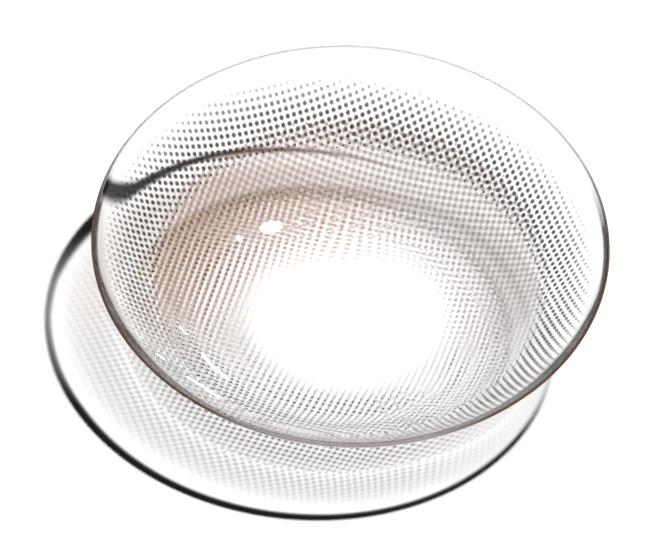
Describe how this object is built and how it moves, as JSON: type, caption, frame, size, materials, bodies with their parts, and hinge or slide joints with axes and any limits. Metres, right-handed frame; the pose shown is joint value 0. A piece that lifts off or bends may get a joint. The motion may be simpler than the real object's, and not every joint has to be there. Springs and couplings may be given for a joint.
{
  "type": "colored contact lens",
  "caption": "Soft contact lens lying bowl up: a thin clear shell with a bevelled, rounded edge and a halftone iris print round a clear pupil.",
  "frame": {"origin": "centre of the small flat spot that the lens rests on, at the middle of its front surface", "axes": "+Z along the lens's axis, up out of the bowl; X and Y across the rim"},
  "size_m": [0.0142, 0.0142, 0.0036],
  "materials": {
    "hydrogel": "wet, clear hydrogel with a printed iris of brown dots"
  },
  "bodies": {
    "root": {"lens": "hydrogel"}
  },
  "joints": []
}
